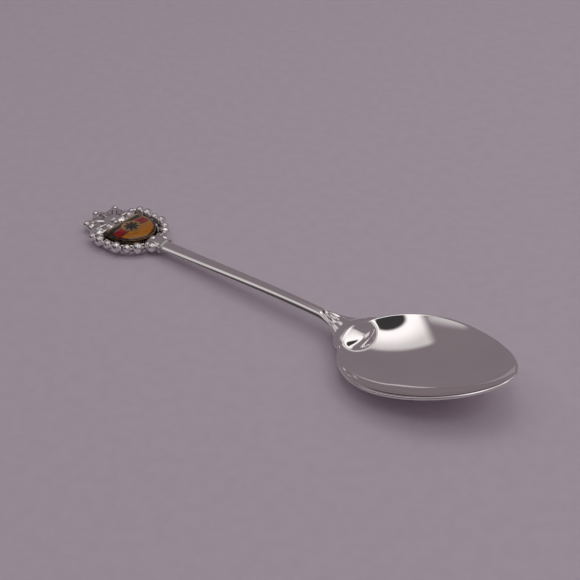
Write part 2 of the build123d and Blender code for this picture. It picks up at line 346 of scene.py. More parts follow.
def neck_section(x, part, side):
    """Points (y, z) of the neck's section at x, on its top or its bottom. part runs from -1 to 1 across."""
    half = flare_half_width(x)
    flare = ease((x - shoulder_x) / 5)
    thickness = through(x, ((stem_start_x, stem_thickness), (shoulder_x, neck_thickness), (heel_x, 2.0)))
    middle = through(x, ((stem_start_x, stem_height), (shoulder_x, neck_z), (heel_x, neck_z - 0.2)))
    bevel = section_bevel * thickness
    low = middle - thickness / 2
    if side == "bottom":
        return part * (half - bevel), low + flare * flare_keel * part ** 2
    rise = thickness - bevel
    radius = (half ** 2 + rise ** 2) / (2 * rise)
    arc = np.sqrt(np.clip(radius ** 2 - (part * half) ** 2, 0, None)) - (radius - rise)
    shoulder = rise * shoulder_share * np.sqrt(np.clip(1 - np.abs(part) ** 5, 0, 1))
    bell = rise * (1 - shoulder_share) * np.exp(-1.3 * (part * half / ridge_half) ** 2)
    valley = valley_depth * np.exp(-((np.abs(part) - 0.55) / 0.2) ** 2)
    top = low + bevel + flare * flare_lift + (1 - flare) * arc + flare * (shoulder + bell - valley)
    return part * half, top + ray_height(x, part * half)


def loft_band(ids, next_ids):
    """Quads between two closed loops of the same length."""
    count = len(ids)
    return [(ids[k], ids[(k + 1) % count], next_ids[(k + 1) % count], next_ids[k]) for k in range(count)]


def surface_faces(ids, outside):
    """Quads down the rings of one side of the bowl, and the fan that closes it."""
    columns = len(ids[0])
    quads = []
    for ring, deeper in zip(ids[:-2], ids[1:-1]):
        for c in range(columns):
            d = (c + 1) % columns
            quads.append((ring[c], deeper[c], deeper[d], ring[d]))
    fan = [(ids[-2][c], ids[-1][0], ids[-2][(c + 1) % columns]) for c in range(columns)]
    return [face if outside else face[::-1] for face in quads + fan]


def rim_edge(top, bottom):
    """Rows of points that round the rim, between its inner and its outer outline."""
    across = bottom - top
    plan = np.column_stack([top[:, 0] - top[:, 0].mean(), top[:, 1], np.zeros(len(top))])
    plan /= np.linalg.norm(plan, axis=1)[:, None]
    level_part = (across * plan).sum(1)[:, None]
    outwards = plan * -across[:, 2:3] + np.array([0, 0, 1.0]) * level_part
    shares = [step / (rim_steps + 1) for step in range(1, rim_steps + 1)]
    return [top + across * share + outwards * rim_swell * sin(pi * share) for share in shares]


def neck_ring(kind, share, ends, parts, names, corners):
    """One closed section of the tang or the neck, its points in the order of the rim points it ends on."""
    run = (ends[:, 0] - stem_start_x) if kind == "neck" else 1
    x = stem_start_x + share * run + np.zeros(len(ends))
    top_y, top_z = neck_section(x, parts, "top")
    low_y, low_z = neck_section(x, parts, "bottom")
    if kind == "tang":
        top_y = low_y = parts * tang_width / 2
        top_z = tang_height + tang_thickness / 2 + 0 * parts
        low_z = tang_height - tang_thickness / 2 + 0 * parts
    bottom = names == "bottom"
    ring = np.column_stack([x, np.where(bottom, low_y, top_y), np.where(bottom, low_z, top_z)])
    blend = ease((x - blend_x) / np.maximum(ends[:, 0] - blend_x, 0.1)) if kind == "neck" else 0 * x
    ring[:, 1] = np.where(bottom, ring[:, 1] + (ends[:, 1] - ring[:, 1]) * blend, ring[:, 1])
    ring[:, 2] += (ends[:, 2] - ring[:, 2]) * np.where(bottom, blend ** under_delay, blend)
    for corner, floor, first, step in corners:
        a, b = ring[corner], ring[floor]
        sideways = np.array([0, np.sign(a[1]), -side_sag])
        for place in range(rim_steps):
            part = (place + 1) / (rim_steps + 1)
            swell = sideways * sin(pi * part) * side_swell * abs(a[2] - b[2])
            index = first + step * place
            rim_part = ends[index] - ends[corner] - (ends[floor] - ends[corner]) * part
            ring[index] = a + (b - a) * part + swell * (1 - blend[index]) + rim_part * blend[index]
    if kind == "neck":
        ring = np.where((names == "top")[:, None], with_tongue(ring), ring)
    return ring


def blank_mesh():
    """The whole blank as one closed skin: tang, stem, flared neck, tongue and bowl."""
    columns = 4 * quarter_columns
    inner = bowl_surface(bowl_wall, -rim_lip)
    seam = (inner[0] + bowl_surface(0, rim_drop)[0]) / 2
    turn_index = np.minimum(np.arange(columns), columns - np.arange(columns))
    inside_flare = np.abs(seam[:, 1]) < flare_half_width(seam[:, 0])
    reach = int(np.max(turn_index[(turn_index < quarter_columns) & inside_flare]))
    tuck = np.where(turn_index < reach, np.cos(pi / 2 * turn_index / reach) ** 2, 0)
    outer = bowl_surface(0, rim_drop + heel_tuck * tuck)
    inner = [with_tongue(ring) for ring in inner]
    for ring in outer:
        ring[:, 2] = np.maximum(ring[:, 2], 0)

    points, faces = [], []

    def put(array):
        start = len(points)
        points.extend(array.tolist())
        return list(range(start, start + len(array)))

    inner_ids = [put(ring) for ring in inner]
    outer_ids = [put(ring) for ring in outer]
    faces += surface_faces(inner_ids, False) + surface_faces(outer_ids, True)

    # rounded edge of the rim, left open where the neck joins
    edge_ids = [put(row) for row in rim_edge(inner[0], outer[0])]
    bands = [inner_ids[0], *edge_ids, outer_ids[0]]
    for c in range(columns):
        d = (c + 1) % columns
        if turn_index[c] > reach or turn_index[d] > reach:
            faces += [(upper[c], upper[d], lower[d], lower[c])
                      for upper, lower in zip(bands[:-1], bands[1:])]

    # loop of rim points that the neck's sections end on
    order = [c % columns for c in range(-reach, reach + 1)]
    loop = [(inner_ids[0][c], "top") for c in order]
    loop += [(ids[reach], "side") for ids in edge_ids]
    loop += [(outer_ids[0][c], "bottom") for c in reversed(order)]
    loop += [(ids[-reach], "side") for ids in reversed(edge_ids)]
    names = np.array([name for _, name in loop])
    ends = np.array([points[index] for index, _ in loop])
    count = len(order)
    parts = np.clip(ends[:, 1] / flare_half_width(ends[:, 0]), -1, 1)
    corners = ((count - 1, count + rim_steps, count, 1), (0, len(loop) - rim_steps - 1, len(loop) - 1, -1))
    for side, (corner, floor, _, _) in zip((1, -1), corners):
        parts[[corner, floor]] = side

    stations = [("tang", -tang_length), ("tang", 0)]
    stations += [("neck", share) for share in np.linspace(0, stem_share, stem_stations, endpoint=False)]
    stations += [("neck", share) for share in np.linspace(stem_share, 1, neck_stations, endpoint=False)]
    rings = [put(neck_ring(kind, share, ends, parts, names, corners)) for kind, share in stations]
    rings.append([index for index, _ in loop])
    faces.append(rings[0])
    for near, far in zip(rings[:-1], rings[1:]):
        faces += loft_band(near, far)
    return facing_outwards(new_mesh("polished_blank", points, faces))


# ---- materials ----------------------------------------------------------------------------------
class Finish:
    """A node material with one Principled shader, and short calls to build its pattern."""

    def __init__(self, name):
        self.material = bpy.data.materials.new(name)
        self.material.use_nodes = True
        self.nodes = self.material.node_tree.nodes
        self.links = self.material.node_tree.links
        self.shader = self.nodes["Principled BSDF"]
        self.place = self.nodes.new("ShaderNodeTexCoord").outputs["Object"]

    def set(self, **values):
        """Sets the shader's sockets, named with underscores for spaces."""
        for name, value in values.items():
            self.shader.inputs[name.replace("_", " ")].default_value = value

    def noise(self, scale, detail=3, stretch=None, roughness=0.5):
        """Noise on Object coordinates. Scale is in waves per metre."""
        place = self.place
        if stretch:
            mapping = self.nodes.new("ShaderNodeMapping")
            mapping.inputs["Scale"].default_value = stretch
            self.links.new(place, mapping.inputs["Vector"])
            place = mapping.outputs["Vector"]
        node = self.nodes.new("ShaderNodeTexNoise")
        node.inputs["Scale"].default_value = scale
        node.inputs["Detail"].default_value = detail
        node.inputs["Roughness"].default_value = roughness
        self.links.new(place, node.inputs["Vector"])
        return node.outputs["Fac"]

    def attribute(self, name):
        """A number stored on the mesh."""
        node = self.nodes.new("ShaderNodeAttribute")
        node.attribute_name = name
        return node.outputs["Fac"]

    def height(self):
        """Height above the sheet."""
        node = self.nodes.new("ShaderNodeSeparateXYZ")
        self.links.new(self.place, node.inputs[0])
        return node.outputs["Z"]

    def ramp(self, source, low, high, start=0.0, end=1.0):
        """Source mapped from start..end to low..high, clamped."""
        node = self.nodes.new("ShaderNodeMapRange")
        node.inputs["From Min"].default_value = start
        node.inputs["From Max"].default_value = end
        node.inputs["To Min"].default_value = low
        node.inputs["To Max"].default_value = high
        self.links.new(source, node.inputs["Value"])
        return node.outputs["Result"]

    def sum(self, *sources):
        """Sum of several numbers, clamped to 0..1."""
        total = sources[0]
        for source in sources[1:]:
            node = self.nodes.new("ShaderNodeMath")
            node.operation = "ADD"
            node.use_clamp = True
            self.links.new(total, node.inputs[0])
            self.links.new(source, node.inputs[1])
            total = node.outputs[0]
        return total

    def colour(self, factor, first, second):
        """Mixes two colours by a factor and gives them to the shader."""
        node = self.nodes.new("ShaderNodeMix")
        node.data_type = "RGBA"
        node.inputs["A"].default_value = (*first, 1)
        node.inputs["B"].default_value = (*second, 1)
        self.links.new(factor, node.inputs["Factor"])
        self.links.new(node.outputs["Result"], self.shader.inputs["Base Color"])
        return node.outputs["Result"]

    def rough(self, source):
        """Gives the shader its roughness."""
        self.links.new(source, self.shader.inputs["Roughness"])

    def bump(self, *layers):
        """Stacks bump layers, each (source, depth in mm, strength)."""
        normal = None
        for source, depth, strength in layers:
            node = self.nodes.new("ShaderNodeBump")
            node.inputs["Distance"].default_value = depth * MM
            node.inputs["Strength"].default_value = strength
            self.links.new(source, node.inputs["Height"])
            if normal:
                self.links.new(normal, node.inputs["Normal"])
            normal = node.outputs["Normal"]
        self.links.new(normal, self.shader.inputs["Normal"])


def silver_plate():
    """Bright plate: a near mirror with a faint haze, fine polishing lines and a warm cast."""
    finish = Finish("polished_silver_plate")
    finish.set(Metallic=1.0, Specular_IOR_Level=0.5)
    cloud = finish.noise(130, detail=4)
    finish.colour(finish.ramp(cloud, 0, 1, 0.35, 0.7), (0.93, 0.90, 0.89), (0.88, 0.85, 0.85))
    lines = finish.noise(900, detail=2, stretch=(0.12, 1, 1))
    haze = finish.ramp(cloud, 0.035, 0.08, 0.4, 0.75)
    finish.rough(finish.sum(haze, finish.ramp(lines, 0.0, 0.03, 0.45, 0.75)))
    finish.bump((lines, 0.004, 0.08), (finish.noise(60, detail=1), 0.02, 0.05))
    return finish.material


def cast_silver():
    """Cast silver: bright on the high spots, dull in the hollows, where the colour is darkened by tarnish
    and by painted shade.
    """
    finish = Finish("cast_silver_relief")
    finish.set(Metallic=1.0)
    hollow = finish.attribute("hollow")
    grain = finish.noise(1500, detail=3)
    # painted shade: the hollows are painted dark to stand for occlusion, mixed with tarnish there; the grain
    # adds random tarnish
    tarnish_and_painted_shade = finish.sum(finish.ramp(hollow, 0, 0.9, 0.02, 0.32), finish.ramp(grain, 0, 0.15, 0.5, 0.8))
    finish.colour(tarnish_and_painted_shade, (0.90, 0.87, 0.86), (0.17, 0.14, 0.14))
    finish.rough(finish.ramp(tarnish_and_painted_shade, 0.12, 0.5))
    finish.bump((grain, 0.02, 0.25))
    return finish.material


def solder():
    """Grey, slightly puddled tin solder."""
    finish = Finish("soft_solder")
    finish.set(Metallic=1.0)
    puddle = finish.noise(700, detail=3)
    finish.colour(puddle, (0.62, 0.60, 0.59), (0.42, 0.40, 0.40))
    finish.rough(finish.ramp(puddle, 0.22, 0.45))
    finish.bump((puddle, 0.05, 0.4))
    return finish.material


def gilt():
    """Thin gilding on the badge's metal, worn in places, with painted shade darkening the tray's sides below
    its top.
    """
    finish = Finish("gilt_brass")
    finish.set(Metallic=1.0)
    wear = finish.noise(900, detail=4)
    top = dome_low[2] * MM
    # painted shade: the tray's sides below the badge's top are painted near black as a dark recess ring; the
    # wear noise adds real wear
    side = finish.ramp(finish.height(), 0.9, 0, top - 0.00006, top - 0.00001)
    wear_and_painted_shade = finish.sum(finish.ramp(wear, 0, 0.3, 0.45, 0.75), side)
    finish.colour(wear_and_painted_shade, (0.86, 0.58, 0.20), (0.06, 0.045, 0.04))
    finish.rough(finish.ramp(wear, 0.16, 0.34))
    finish.bump((finish.noise(3000, detail=2), 0.01, 0.3))
    return finish.material


def cement():
    """Dry amber cement under the badge."""
    finish = Finish("badge_cement_amber")
    grain = finish.noise(1200, detail=4)
    finish.colour(grain, (0.36, 0.29, 0.18), (0.24, 0.18, 0.11))
    finish.rough(finish.ramp(grain, 0.55, 0.8))
    finish.bump((grain, 0.04, 0.5))
    return finish.material


def enamel(name, colour, shade):
    """Fired enamel: even colour with a faint cloud and a soft orange-peel under its gloss."""
    finish = Finish(name)
    finish.set(Coat_Weight=0.6, Coat_Roughness=0.05, Specular_IOR_Level=0.5)
    cloud = finish.noise(800, detail=3)
    finish.colour(finish.ramp(cloud, 0, 1, 0.35, 0.7), colour, shade)
    finish.rough(finish.ramp(cloud, 0.12, 0.22))
    finish.bump((finish.noise(1600, detail=1), 0.02, 0.12))
    return finish.material


def clear_resin():
    """Clear domed resin with a very faint ripple."""
    finish = Finish("clear_resin_dome")
    finish.set(Transmission_Weight=1.0, IOR=1.47)
    ripple = finish.noise(400, detail=1)
    finish.colour(ripple, (1.0, 0.995, 0.98), (0.99, 0.985, 0.96))
    finish.rough(finish.ramp(ripple, 0.01, 0.04))
    finish.bump((ripple, 0.01, 0.1))
    return finish.material


def felt_grey():
    """Matt pale sheet that the spoon lies on. It can be looked through from below."""
    finish = Finish("pale_sheet")
    grain = finish.noise(350, detail=4)
    shade = tuple(0.97 * part for part in sheet_colour)
    finish.colour(finish.ramp(grain, 0, 1, 0.4, 0.65), sheet_colour, shade)
    finish.rough(finish.ramp(grain, 0.75, 0.9))
    clear = finish.nodes.new("ShaderNodeBsdfTransparent")
    mix = finish.nodes.new("ShaderNodeMixShader")
    side = finish.nodes.new("ShaderNodeNewGeometry")
    finish.links.new(side.outputs["Backfacing"], mix.inputs["Fac"])
    finish.links.new(finish.shader.outputs[0], mix.inputs[1])
    finish.links.new(clear.outputs[0], mix.inputs[2])
    finish.links.new(mix.outputs[0], finish.nodes["Material Output"].inputs["Surface"])
    return finish.material


# ---- geometry node trees ------------------------------------------------------------------------
class Tree:
    """A Geometry Nodes tree with named size inputs, ending in Realize Instances and Set Material."""

    def __init__(self, name, **sizes):
        self.group = bpy.data.node_groups.new(name, "GeometryNodeTree")
        self.group.interface.new_socket("Geometry", in_out="INPUT", socket_type="NodeSocketGeometry")
        self.group.interface.new_socket("Geometry", in_out="OUTPUT", socket_type="NodeSocketGeometry")
        self.sizes = sizes
        for size in sizes:
            self.group.interface.new_socket(size, in_out="INPUT", socket_type="NodeSocketFloat")
        self.start = self.group.nodes.new("NodeGroupInput")
        self.geometry = self.start.outputs["Geometry"]

    def size(self, name):
        """Output of a named size."""
        return self.start.outputs[name]

    def add(self, kind, settings=None, **inputs):
        """Adds a node. Inputs are given by name, with underscores for spaces; links or plain values."""
        node = self.group.nodes.new(kind)
        for name, value in (settings or {}).items():
            setattr(node, name, value)
        for name, value in inputs.items():
            open_sockets = [s for s in node.inputs if s.name == name.replace("_", " ") and s.enabled]
            self.feed(open_sockets[0], value)
        return node

    def feed(self, socket, value):
        """Links an output to a socket, or sets its value."""
        if isinstance(value, bpy.types.NodeSocket):
            self.group.links.new(value, socket)
        else:
            socket.default_value = value

    def maths(self, operation, first, second=0.0):
        """One maths step."""
        node = self.group.nodes.new("ShaderNodeMath")
        node.operation = operation
        self.feed(node.inputs[0], first)
        self.feed(node.inputs[1], second)
        return node.outputs[0]

    def times(self, first, second):
        """Product of two numbers."""
        return self.maths("MULTIPLY", first, second)

    def vector(self, x=0.0, y=0.0, z=0.0):
        """Vector from three numbers."""
        return self.add("ShaderNodeCombineXYZ", X=x, Y=y, Z=z).outputs[0]

    def join(self, *parts):
        """Joins several geometries."""
        node = self.group.nodes.new("GeometryNodeJoinGeometry")
        for part in reversed(parts):
            self.group.links.new(part, node.inputs[0])
        return node.outputs[0]

    def finish(self, geometry, material):
        """Closes the tree."""
        solid = self.add("GeometryNodeRealizeInstances", Geometry=geometry).outputs[0]
        painted = self.add("GeometryNodeSetMaterial", Geometry=solid, Material=material).outputs[0]
        end = self.group.nodes.new("NodeGroupOutput")
        self.group.links.new(painted, end.inputs[0])

    def run(self, piece):
        """Applies the tree to a piece, its sizes in metres, and leaves a plain mesh."""
        modifier = piece.modifiers.new(self.group.name, "NODES")
        modifier.node_group = self.group
        for item in self.group.interface.items_tree:
            if item.in_out == "INPUT" and item.name in self.sizes:
                modifier[item.identifier] = self.sizes[item.name]
        return baked(piece)


# ---- cast ornament ------------------------------------------------------------------------------
shield_top_x, shield_point_x = tray_low[0], tray_high[0]
shield_width = tray_high[1] - tray_low[1]
shield_shoulder = 3.4
border_width = 3.05
bead_radius = 1.15
bead_start = -1.0
bead_rise = 2.0
crown_gap = 1.3
crown_band = 1.6
crown_width = 13.0
crown_drop = 0.12
crown_spread = 1.12
leaf_fan = radians(42)
leaf_width = 5.4
pearl_radius = 0.85
pearl_rise = 1.75
jewel_radius = 0.65
jewels = 5
seat_gap = 0.15
volute_back = 2.25          # pair of volutes, behind the casting's end
leaf_back = 1.4             # leaf bead behind the volutes
seat_floor = 1.0
voxel = 0.12                # grain of the fused casting
shield_middle_x = (shield_top_x + shield_point_x) / 2
crown_base_x = shield_top_x - crown_gap - crown_band / 2
crown_top_x = casting_low[0] + pearl_radius


def shield_side(grow, start_x=None, steps=40):
    """Half of the shield's outline (Y positive), from its top to its point, grown by a margin."""
    half = shield_width / 2 + grow
    shoulder = shield_top_x + shield_shoulder
    point = shield_point_x + grow
    radius = ((point - shoulder) ** 2 + half ** 2) / (2 * half)
    sweep = atan2(point - shoulder, radius - half)
    turns = np.linspace(0, sweep, steps)
    arc = np.column_stack([shoulder + radius * np.sin(turns), half - radius + radius * np.cos(turns)])
    top = shield_top_x - grow if start_x is None else start_x
    straight = np.linspace(top, shoulder, steps // 2, endpoint=False)
    return np.vstack([np.column_stack([straight, np.full(steps // 2, half)]), arc])


def shield_loop(grow, passes=2, count=150):
    """Closed shield outline with evenly spaced points and slightly softened corners."""
    side = shield_side(grow)
    top = np.column_stack([np.full(12, side[0, 0]), np.linspace(0, side[0, 1], 12, endpoint=False)])
    half = np.vstack([top, side])
    loop = np.vstack([half, (half * (1, -1))[-2:0:-1]])
    closed = np.vstack([loop, loop[:1]])
    run = np.concatenate([[0], np.cumsum(np.linalg.norm(np.diff(closed, axis=0), axis=1))])
    at = np.linspace(0, run[-1], count, endpoint=False)
    even = np.column_stack([np.interp(at, run, closed[:, 0]), np.interp(at, run, closed[:, 1])])
    for _ in range(passes):
        even = (np.roll(even, 1, 0) + 2 * even + np.roll(even, -1, 0)) / 4
    return even


def stacked(name, loops, closed_ring=False):
    """Closed mesh from loops of the same count, each (outline, z): capped, or joined into a ring."""
    points = np.vstack([np.column_stack([loop, np.full(len(loop), z)]) for loop, z in loops])
    count = len(loops[0][0])
    rows = [list(range(k * count, (k + 1) * count)) for k in range(len(loops))]
    faces = []
    for lower, upper in zip(rows[:-1], rows[1:]):
        faces += loft_band(lower, upper)
    if closed_ring:
        faces += loft_band(rows[-1], rows[0])
    else:
        faces += [rows[0][::-1], rows[-1]]
    return new_object(name, facing_outwards(new_mesh(name, points, faces)))


def shield_stack(name, steps, closed_ring=False):
    """Stack of shield outlines, each step (margin round the shield, height)."""
    return stacked(name, [(shield_loop(grow), z) for grow, z in steps], closed_ring)


def ornament_frame():
    """Back plate with the raised lip round the badge's seat, a groove, and the slope under the scrolls."""
    plate = shield_stack("plate", [(1.5, 0.0), (1.9, 0.35), (2.0, 0.8), (1.8, seat_floor)])
    lip = [(seat_gap, seat_floor - 0.3), (seat_gap, 1.75), (0.28, 1.95), (0.5, 1.98), (0.68, 1.85)]
    groove = [(0.8, 1.4), (0.95, 1.3)]
    slope = [(1.4, 1.7), (2.0, 1.5), (2.2, 1.1), (1.9, 0.6)]
    ring = shield_stack("lip", lip + groove + slope, closed_ring=True)
    return [plate, ring]


def scroll_tree():
    """Volutes that stand on pads along a path: each a rising spiral with a bead in its eye."""
    tree = Tree("scroll_border", Spacing=2 * bead_radius * 0.93 * MM, Radius=bead_radius * MM, Tube=0.3 * MM)
    path = tree.add("GeometryNodeMeshToCurve", Mesh=tree.geometry).outputs[0]
    stops = tree.add("GeometryNodeCurveToPoints", {"mode": "LENGTH"}, Curve=path,
                     Length=tree.size("Spacing"))
    index = tree.add("GeometryNodeInputIndex").outputs[0]
    odd = tree.maths("MODULO", index, 2.0)
    size = tree.maths("ADD", tree.times(odd, 0.22), 0.9)
    spiral = tree.add(
        "GeometryNodeCurveSpiral", Resolution=22, Rotations=1.15,
        Start_Radius=tree.times(tree.size("Radius"), 0.78),
        End_Radius=tree.times(tree.size("Radius"), 0.1),
        Height=tree.times(tree.size("Radius"), 0.62))
    ring = tree.add("GeometryNodeCurvePrimitiveCircle", Resolution=10, Radius=tree.size("Tube")).outputs[0]
    tube = tree.add("GeometryNodeCurveToMesh", Curve=spiral.outputs[0], Profile_Curve=ring,
                    Fill_Caps=True).outputs[0]
    pad = tree.add("GeometryNodeMeshIcoSphere", Radius=tree.size("Radius"), Subdivisions=3).outputs[0]
    pad = tree.add("GeometryNodeTransform", Geometry=pad, Translation=tree.vector(z=-0.35 * MM),
                   Scale=(1.0, 1.0, 0.86)).outputs[0]
    shape = tree.join(tube, pad)
    placed = tree.add("GeometryNodeInstanceOnPoints", Points=stops.outputs["Points"], Instance=shape,
                      Rotation=stops.outputs["Rotation"], Scale=size).outputs[0]
    tree.finish(placed, materials["cast_silver"])
    return tree


def path_object(name, points):
    """Mesh of edges along a path, for a tree to follow."""
    mesh = bpy.data.meshes.new(name)
    mesh.from_pydata((np.asarray(points) * MM).tolist(), [(k, k + 1) for k in range(len(points) - 1)], [])
    return new_object(name, mesh)


def crown_tree():
    """Coronet: leaves that fan out from a band, a pearl on each leaf's end and jewels along the band."""
    tree = Tree(
        "coronet", BaseX=crown_base_x * MM, Reach=(crown_base_x - crown_top_x) * MM, Fan=leaf_fan,
        Drop=crown_drop, Spread=crown_spread, LeafWidth=leaf_width * MM,
        Pearl=pearl_radius * MM, PearlZ=pearl_rise * MM,
        Jewel=jewel_radius * MM, BandWidth=crown_width * MM)
    index = tree.add("GeometryNodeInputIndex").outputs[0]
    side = tree.maths("SUBTRACT", index, 2.0)
    turn = tree.times(side, tree.size("Fan"))
    share = tree.times(side, 0.5)
    drop = tree.times(tree.times(share, share), tree.size("Drop"))
    reach = tree.times(tree.size("Reach"), tree.maths("SUBTRACT", 1.0, drop))
    away = tree.times(reach, tree.maths("COSINE", turn))
    sideways = tree.times(reach, tree.maths("SINE", turn))
    across = tree.times(sideways, tree.size("Spread"))
    end = tree.vector(tree.maths("SUBTRACT", tree.size("BaseX"), away), across, tree.size("PearlZ"))
    ends = tree.add("GeometryNodePoints", Count=5, Position=end).outputs[0]
    pearl = tree.add("GeometryNodeMeshUVSphere", Segments=24, Rings=14, Radius=tree.size("Pearl")).outputs[0]
    pearls = tree.add("GeometryNodeInstanceOnPoints", Points=ends, Instance=pearl).outputs[0]

    # a leaf of unit length along -X: a flat lobe with a raised rib
    lobe = tree.add("GeometryNodeMeshUVSphere", Segments=28, Rings=16, Radius=0.5).outputs[0]
    broad = tree.maths("DIVIDE", tree.size("LeafWidth"), tree.size("Reach"))
    leaf = tree.add("GeometryNodeTransform", Geometry=lobe, Translation=(-0.56, 0, 0),
                    Scale=tree.vector(0.92, broad, 0.38)).outputs[0]
    rib = tree.add("GeometryNodeTransform", Geometry=lobe, Translation=(-0.56, 0, 0.1),
                   Scale=(0.86, 0.14, 0.30)).outputs[0]
    heart = tree.add("GeometryNodeTransform", Geometry=lobe, Translation=(-0.3, 0, 0.04),
                     Scale=(0.62, 0.62, 0.36)).outputs[0]
    petal = tree.add("GeometryNodeTransform", Geometry=lobe, Translation=(-0.8, 0, 0.02),
                     Scale=(0.44, 0.66, 0.36)).outputs[0]
    shape = tree.join(leaf, rib, heart, petal)
    root = tree.vector(tree.size("BaseX"), 0.0, 1.25 * MM)
    roots = tree.add("GeometryNodePoints", Count=5, Position=root).outputs[0]
    lean = tree.maths("ARCTAN2", across, away)
    turned = tree.vector(z=tree.times(lean, -1.0))
    squares = [tree.times(part, part) for part in (away, across)]
    length = tree.maths("SQRT", tree.maths("ADD", *squares))
    leaves = tree.add("GeometryNodeInstanceOnPoints", Points=roots, Instance=shape, Rotation=turned,
                      Scale=tree.vector(length, length, tree.size("Reach"))).outputs[0]

    web_length = tree.times(tree.size("Reach"), 1.3)
    web_width = tree.times(tree.size("BandWidth"), 0.98)
    web = tree.add("GeometryNodeTransform", Geometry=lobe,
                   Scale=tree.vector(web_length, web_width, 1.9 * MM),
                   Translation=tree.vector(tree.size("BaseX"), 0.0, 1.1 * MM)).outputs[0]

    # band and its jewels
    half = tree.times(tree.size("BandWidth"), 0.5)
    bow = tree.maths("ADD", tree.size("BaseX"), 0.9 * MM)
    bar = tree.add(
        "GeometryNodeCurveQuadraticBezier", Resolution=24,
        Start=tree.vector(tree.size("BaseX"), half, 1.55 * MM), Middle=tree.vector(bow, 0.0, 1.75 * MM),
        End=tree.vector(tree.size("BaseX"), tree.times(half, -1.0), 1.55 * MM)).outputs[0]
    section = tree.add("GeometryNodeCurvePrimitiveCircle", Resolution=16, Radius=0.62 * MM).outputs[0]
    band = tree.add("GeometryNodeCurveToMesh", Curve=bar, Profile_Curve=section, Fill_Caps=True).outputs[0]
    stops = tree.add("GeometryNodeCurveToPoints", {"mode": "COUNT"}, Curve=bar, Count=jewels + 2).outputs[0]
    gem = tree.add("GeometryNodeMeshUVSphere", Segments=20, Rings=12, Radius=tree.size("Jewel")).outputs[0]
    gem = tree.add("GeometryNodeTransform", Geometry=gem, Translation=(0, 0, 0.45 * MM)).outputs[0]
    gems = tree.add("GeometryNodeInstanceOnPoints", Points=stops, Instance=gem).outputs[0]
    tree.finish(tree.join(pearls, leaves, web, band, gems), materials["cast_silver"])
    return tree


def hollow_tree():
    """Stores how far each point of a casting lies below its surroundings, for the tarnish and the painted
    shade in the hollows.
    """
    tree = Tree("hollows", Depth=0.12 * MM)
    position = tree.add("GeometryNodeInputPosition").outputs[0]
    blur = tree.add("GeometryNodeBlurAttribute", {"data_type": "FLOAT_VECTOR"},
                    Value=position, Iterations=14)
    blurred = [socket for socket in blur.outputs if socket.enabled][0]
    step = tree.group.nodes.new("ShaderNodeVectorMath")
    step.operation = "SUBTRACT"
    tree.feed(step.inputs[0], blurred)
    tree.feed(step.inputs[1], position)
    facing = tree.group.nodes.new("ShaderNodeVectorMath")
    facing.operation = "DOT_PRODUCT"
    tree.feed(facing.inputs[0], step.outputs[0])
    tree.feed(facing.inputs[1], tree.add("GeometryNodeInputNormal").outputs[0])
    hollow = tree.maths("DIVIDE", facing.outputs["Value"], tree.size("Depth"))
    stored = tree.add("GeometryNodeStoreNamedAttribute", {"data_type": "FLOAT", "domain": "POINT"},
                      Geometry=tree.geometry, Name="hollow", Value=hollow).outputs[0]
    tree.finish(stored, materials["cast_silver"])
    return tree


def collar():
    """Rounded collar that holds the stem's tang: sections along X round an open socket."""
    front = casting_high[0]
    tang_end = front - tang_length - 0.3
    middle, half_height = 1.85, 1.25
    sections = [
        (tang_end - 1.6, 1.2, 0.7), (tang_end - 0.9, 2.0, 1.1), (tang_end + 0.6, 2.25, half_height),
        (front - 1.3, 2.0, 1.1), (front - 0.75, 1.85, 1.0), (front - 0.35, 2.1, 1.15), (front, 1.95, 1.05),
    ]
    hole = [(front, tang_width / 2 + 0.12, tang_thickness / 2 + 0.12),
            (tang_end, tang_width / 2 + 0.12, tang_thickness / 2 + 0.12)]
    turns = np.arange(48) * 2 * pi / 48
    square = 0.72           # power that makes the round section a soft rectangle
    wide = np.sign(np.cos(turns)) * np.abs(np.cos(turns)) ** square
    tall = np.sign(np.sin(turns)) * np.abs(np.sin(turns)) ** square
    points, faces, rows = [], [], []
    for x, half, height in sections + hole:
        rows.append(list(range(len(points), len(points) + len(turns))))
        points += np.column_stack([np.full(len(turns), x), half * wide, middle + height * tall]).tolist()
    for near, far in zip(rows[:-1], rows[1:]):
        faces += loft_band(near, far)
    faces += [rows[0][::-1], rows[-1]]
    return new_object("collar", facing_outwards(new_mesh("collar", points, faces)))


def volute_beads():
    """Pair of round volutes either side of the collar, and a small leaf bead on top of it."""
    volute_x = casting_high[0] - volute_back
    leaf_x = volute_x - leaf_back
    spots = [(volute_x, 1.9, 1.9, 1.15), (volute_x, -1.9, 1.9, 1.15), (leaf_x, 0, 2.35, 0.95)]
    beads = []
    for x, y, z, radius in spots:
        ball = bmesh.new()
        bmesh.ops.create_icosphere(ball, subdivisions=3, radius=radius * MM)
        bmesh.ops.translate(ball, verts=ball.verts, vec=(x * MM, y * MM, z * MM))
        mesh = bpy.data.meshes.new("volute")
        ball.to_mesh(mesh)
        ball.free()
        beads.append(new_object("volute", mesh))
    return beads


